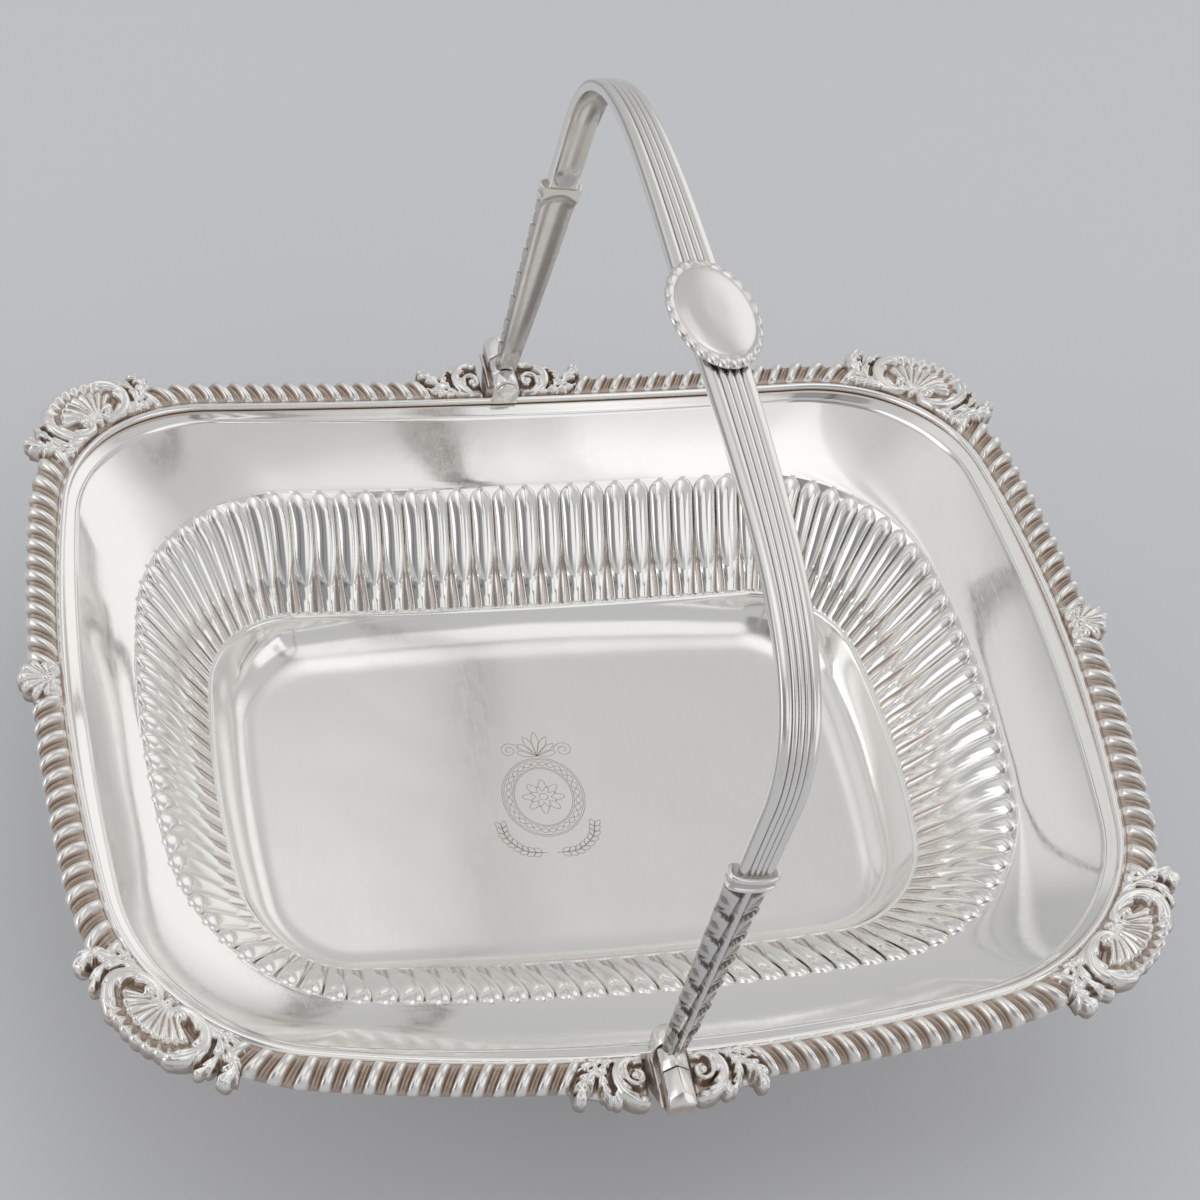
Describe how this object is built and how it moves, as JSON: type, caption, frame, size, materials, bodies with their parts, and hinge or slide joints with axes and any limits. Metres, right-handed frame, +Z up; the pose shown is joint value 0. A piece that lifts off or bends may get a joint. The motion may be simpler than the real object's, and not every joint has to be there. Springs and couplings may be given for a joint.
{
  "type": "swing-handled silver basket",
  "caption": "Oblong silver basket on a spreading foot, with a lobed bowl, gadroon border with shells and scrolls, and a reeded swing handle hinged on its long sides.",
  "frame": {"origin": "middle of the underside of the foot", "axes": "+Z up, X along the long sides, Y across them and along the handle's hinge line"},
  "size_m": [0.325, 0.2926, 0.2276],
  "materials": {
    "raised_silver": "polished silver, lightly scratched",
    "cast_silver": "polished cast silver, oxide in the hollows",
    "handle_silver": "polished cast silver",
    "pin_silver": "worn silver"
  },
  "bodies": {
    "basket": {"bowl": "raised_silver", "rim_moulding": "raised_silver", "foot_collet": "raised_silver", "foot_wire": "cast_silver", "hinge_scroll_back_right": "cast_silver", "hinge_scroll_front_right": "cast_silver", "hinge_scroll_front_left": "cast_silver", "hinge_scroll_back_left": "cast_silver", "gadroon_back_right": "cast_silver", "gadroon_front_right": "cast_silver", "gadroon_front_left": "cast_silver", "gadroon_back_left": "cast_silver", "corner_shell_back_right": "cast_silver", "corner_shell_front_right": "cast_silver", "corner_shell_front_left": "cast_silver", "corner_shell_back_left": "cast_silver", "gadroon_right_back": "cast_silver", "gadroon_right_front": "cast_silver", "gadroon_left_front": "cast_silver", "gadroon_left_back": "cast_silver", "end_shell_right": "cast_silver", "end_shell_left": "cast_silver", "hinge_plate_back": "cast_silver", "inner_lug_back": "cast_silver", "outer_knuckle_back": "cast_silver", "hinge_plate_front": "cast_silver", "inner_lug_front": "cast_silver", "outer_knuckle_front": "cast_silver", "hinge_pin_back": "pin_silver", "hinge_pin_front": "pin_silver"},
    "handle": {"handle_knuckle_back": "handle_silver", "handle_leg_back": "handle_silver", "handle_collar_back": "handle_silver", "handle_arch_back": "handle_silver", "handle_knuckle_front": "handle_silver", "handle_leg_front": "handle_silver", "handle_collar_front": "handle_silver", "handle_arch_front": "handle_silver", "handle_cartouche": "handle_silver"}
  },
  "joints": [
    {"name": "handle_swing", "type": "hinge", "parent": "basket", "child": "handle", "pos_m": [0, 0, 0.07917], "axis": [0, 1, 0], "range_deg": [-84.2, 71.8]}
  ]
}
